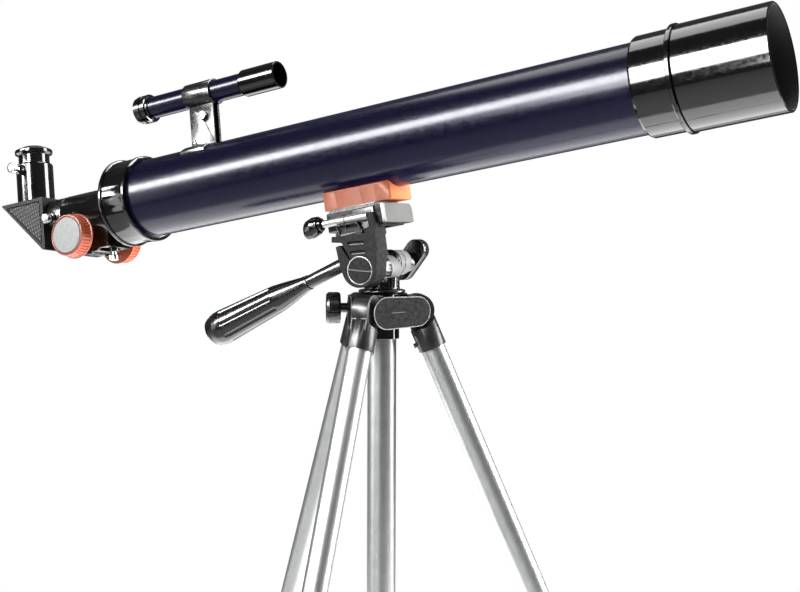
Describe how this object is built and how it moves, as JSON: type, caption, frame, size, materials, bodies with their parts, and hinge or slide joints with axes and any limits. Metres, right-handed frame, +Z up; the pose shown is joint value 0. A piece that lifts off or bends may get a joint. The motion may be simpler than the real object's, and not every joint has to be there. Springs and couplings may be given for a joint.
{
  "type": "telescope on tripod",
  "caption": "Small refracting telescope with a star diagonal and a straight finder, on a pan and tilt head over a folding tripod with telescoping legs.",
  "frame": {"origin": "on the floor, under the middle of the whole object's box", "axes": "+Z up; +X the way the tube points, seen from above; -Y the side of the pan head's cheek and tilt axle"},
  "size_m": [0.6704, 0.6062, 1.0072],
  "materials": {
    "navy_tube": "satin paint with a fine speckle",
    "gloss_black": "gloss",
    "matte_black": "matte, lightly textured",
    "grey_plastic": "matte",
    "orange_plastic": "satin",
    "silver_disc": "spun satin",
    "chrome": "polished",
    "black_bracket": "satin paint",
    "optical_glass": "coated",
    "mirror": "polished",
    "anodised": "satin anodised",
    "steel": "satin",
    "grip_black": "soft satin",
    "foot_rubber": "matte"
  },
  "bodies": {
    "tripod_base": {"leg_crown": "gloss_black", "guide_tube": "anodised"},
    "column": {"center_column": "anodised", "column_head": "gloss_black"},
    "pan_head": {"pan_block": "matte_black"},
    "tilt_head": {"tilt_bracket": "matte_black", "tilt_axle": "matte_black"},
    "pan_handle": {"handle_rod": "steel", "handle_grip": "grip_black"},
    "telescope": {"main_tube": "navy_tube", "lens_cell": "gloss_black", "dew_shield": "gloss_black", "objective_lenses": "optical_glass", "focuser_housing": "gloss_black", "pinion_cover": "matte_black", "finder_tube": "navy_tube", "finder_end_cells": "gloss_black", "finder_lenses": "optical_glass", "finder_bracket": "black_bracket", "finder_fasteners": "chrome", "mount_block": "orange_plastic", "quick_release_plate": "grey_plastic", "camera_screw": "chrome", "platform": "matte_black"},
    "release_lever": {"release_lever": "matte_black"},
    "side_tilt_knob": {"side_tilt_knob": "matte_black"},
    "tilt_lock_knob": {"tilt_lock_knob": "matte_black"},
    "column_lock_knob": {"column_lock_knob": "matte_black"},
    "drawtube": {"drawtube": "matte_black"},
    "focus_pinion": {"focus_shaft": "chrome", "focus_knobs": "orange_plastic", "knob_caps": "silver_disc"},
    "focus_lock_screw": {"focus_lock_screw": "chrome"},
    "drawtube_thumbscrew": {"drawtube_thumbscrew": "chrome"},
    "star_diagonal": {"diagonal_body": "gloss_black", "diagonal_panels": "matte_black", "diagonal_mirror": "mirror", "eyepiece_holder": "gloss_black"},
    "holder_thumbscrew": {"holder_thumbscrew": "chrome"},
    "eyepiece": {"eyepiece_body": "matte_black", "eyepiece_lenses": "optical_glass"},
    "brace_hub": {"brace_hub": "matte_black"},
    "leg_1": {"leg_1_fittings": "gloss_black", "leg_1_upper_tube": "anodised"},
    "leg_1_lock": {"leg_1_lock": "matte_black"},
    "leg_1_lower": {"leg_1_lower_tube": "anodised", "leg_1_foot": "foot_rubber"},
    "brace_1": {"brace_1": "matte_black"},
    "leg_2": {"leg_2_fittings": "gloss_black", "leg_2_upper_tube": "anodised"},
    "leg_2_lock": {"leg_2_lock": "matte_black"},
    "leg_2_lower": {"leg_2_lower_tube": "anodised", "leg_2_foot": "foot_rubber"},
    "brace_2": {"brace_2": "matte_black"},
    "leg_3": {"leg_3_fittings": "gloss_black", "leg_3_upper_tube": "anodised"},
    "leg_3_lock": {"leg_3_lock": "matte_black"},
    "leg_3_lower": {"leg_3_lower_tube": "anodised", "leg_3_foot": "foot_rubber"},
    "brace_3": {"brace_3": "matte_black"}
  },
  "joints": [
    {"name": "column_lift", "type": "slide", "parent": "tripod_base", "child": "column", "axis": [0, 0, 1], "range_m": [0, 0.2]},
    {"name": "pan", "type": "hinge", "parent": "column", "child": "pan_head", "pos_m": [0.01692, 0.08022, 0.82618], "axis": [0, 0, 1], "continuous": true},
    {"name": "tilt", "type": "hinge", "parent": "pan_head", "child": "tilt_head", "pos_m": [0.01733, 0.08022, 0.83984], "axis": [0, -1, 0], "range_deg": [-60, 27]},
    {"name": "handle_twist", "type": "hinge", "parent": "tilt_head", "child": "pan_handle", "pos_m": [-0.01308, 0.07422, 0.84198], "axis": [-0.9078, 0, -0.4195], "range_deg": [-180, 180]},
    {"name": "side_tilt", "type": "hinge", "parent": "tilt_head", "child": "telescope", "pos_m": [0.00529, 0.05622, 0.87502], "axis": [0.986, 0, 0.1668], "range_deg": [0, 90]},
    {"name": "release_press", "type": "hinge", "parent": "telescope", "child": "release_lever", "pos_m": [0.02632, 0.08022, 0.87422], "axis": [0, 1, 0], "range_deg": [0, 35], "stiffness_Nm_per_rad": 0.05, "springref_deg": -11.46},
    {"name": "side_tilt_lock", "type": "hinge", "parent": "tilt_head", "child": "side_tilt_knob", "pos_m": [-0.02232, 0.05622, 0.87035], "axis": [0.986, 0, 0.1668], "range_deg": [0, 180]},
    {"name": "tilt_lock", "type": "hinge", "parent": "pan_head", "child": "tilt_lock_knob", "pos_m": [0.01692, 0.11022, 0.84398], "axis": [0, 1, 0], "range_deg": [0, 180]},
    {"name": "column_lock", "type": "hinge", "parent": "tripod_base", "child": "column_lock_knob", "pos_m": [-0.00366, 0.06602, 0.81248], "axis": [-0.8231, -0.5678, 0], "range_deg": [0, 360]},
    {"name": "focus", "type": "slide", "parent": "telescope", "child": "drawtube", "axis": [-0.986, 0, -0.1668], "range_m": [0, 0.055]},
    {"name": "focus_turn", "type": "hinge", "parent": "telescope", "child": "focus_pinion", "pos_m": [-0.24381, 0.07782, 0.85888], "axis": [-0.0174, -0.9945, 0.1031], "range_deg": [0, 495]},
    {"name": "focus_lock", "type": "hinge", "parent": "telescope", "child": "focus_lock_screw", "pos_m": [-0.22657, 0.07708, 0.85473], "axis": [0.1659, -0.1045, -0.9806], "range_deg": [0, 360]},
    {"name": "drawtube_screw", "type": "hinge", "parent": "drawtube", "child": "drawtube_thumbscrew", "pos_m": [-0.27827, 0.06023, 0.87554], "axis": [0.0058, -0.9994, -0.0344], "range_deg": [0, 360]},
    {"name": "diagonal_turn", "type": "hinge", "parent": "drawtube", "child": "star_diagonal", "pos_m": [-0.27691, 0.08022, 0.87648], "axis": [0.986, 0, 0.1668], "continuous": true},
    {"name": "holder_screw", "type": "hinge", "parent": "star_diagonal", "child": "holder_thumbscrew", "pos_m": [-0.31701, 0.06488, 0.91569], "axis": [-0.0174, -0.9945, 0.1031], "range_deg": [0, 360]},
    {"name": "eyepiece_out", "type": "slide", "parent": "star_diagonal", "child": "eyepiece", "axis": [-0.1659, 0.1045, 0.9806], "range_m": [0, 0.03]},
    {"name": "leg_1_fold", "type": "hinge", "parent": "tripod_base", "child": "leg_1", "pos_m": [0.01893, 0.0553, 0.81068], "axis": [0.9968, 0.0802, 0], "range_deg": [0, 20]},
    {"name": "leg_1_lock_twist", "type": "hinge", "parent": "leg_1", "child": "leg_1_lock", "pos_m": [0.03409, -0.13318, 0.36949], "axis": [0.0316, -0.3927, -0.9191], "range_deg": [0, 90]},
    {"name": "leg_1_extend", "type": "slide", "parent": "leg_1", "child": "leg_1_lower", "axis": [0.0316, -0.3927, -0.9191], "range_m": [-0.33, 0.03]},
    {"name": "leg_2_fold", "type": "hinge", "parent": "tripod_base", "child": "leg_2", "pos_m": [0.0375, 0.09442, 0.81068], "axis": [-0.5678, 0.8231, 0], "range_deg": [0, 20]},
    {"name": "leg_2_lock_twist", "type": "hinge", "parent": "leg_2", "child": "leg_2_lock", "pos_m": [0.19315, 0.20179, 0.36949], "axis": [0.3243, 0.2237, -0.9191], "range_deg": [0, 90]},
    {"name": "leg_2_extend", "type": "slide", "parent": "leg_2", "child": "leg_2_lower", "axis": [0.3243, 0.2237, -0.9191], "range_m": [-0.33, 0.03]},
    {"name": "leg_3_fold", "type": "hinge", "parent": "tripod_base", "child": "leg_3", "pos_m": [-0.00566, 0.09094, 0.81068], "axis": [-0.4289, -0.9033, 0], "range_deg": [0, 20]},
    {"name": "leg_3_lock_twist", "type": "hinge", "parent": "leg_3", "child": "leg_3_lock", "pos_m": [-0.17648, 0.17205, 0.36949], "axis": [-0.3559, 0.169, -0.9191], "range_deg": [0, 90]},
    {"name": "leg_3_extend", "type": "slide", "parent": "leg_3", "child": "leg_3_lower", "axis": [-0.3559, 0.169, -0.9191], "range_m": [-0.33, 0.03]},
    {"name": "hub_slide", "type": "slide", "parent": "tripod_base", "child": "brace_hub", "axis": [0, 0, 1], "range_m": [0, 0.033]},
    {"name": "brace_1_swing", "type": "hinge", "parent": "brace_hub", "child": "brace_1", "pos_m": [0.01836, 0.06228, 0.5931], "axis": [0.9968, 0.0802, 0], "range_deg": [0, 47.5]},
    {"name": "brace_2_swing", "type": "hinge", "parent": "brace_hub", "child": "brace_2", "pos_m": [0.03174, 0.09044, 0.5931], "axis": [-0.5678, 0.8231, 0], "range_deg": [0, 47.5]},
    {"name": "brace_3_swing", "type": "hinge", "parent": "brace_hub", "child": "brace_3", "pos_m": [0.00066, 0.08794, 0.5931], "axis": [-0.4289, -0.9033, 0], "range_deg": [0, 47.5]}
  ],
  "couplings": [
    {"joint": "focus_turn", "follows": "focus", "rad_per_m": 156.25},
    {"joint": "leg_2_fold", "follows": "leg_1_fold", "ratio": 1},
    {"joint": "leg_3_fold", "follows": "leg_1_fold", "ratio": 1},
    {"joint": "hub_slide", "follows": "leg_1_fold", "m_per_rad": 0.09209},
    {"joint": "brace_1_swing", "follows": "leg_1_fold", "ratio": 2.3533},
    {"joint": "brace_2_swing", "follows": "leg_1_fold", "ratio": 2.3533},
    {"joint": "brace_3_swing", "follows": "leg_1_fold", "ratio": 2.3533}
  ]
}
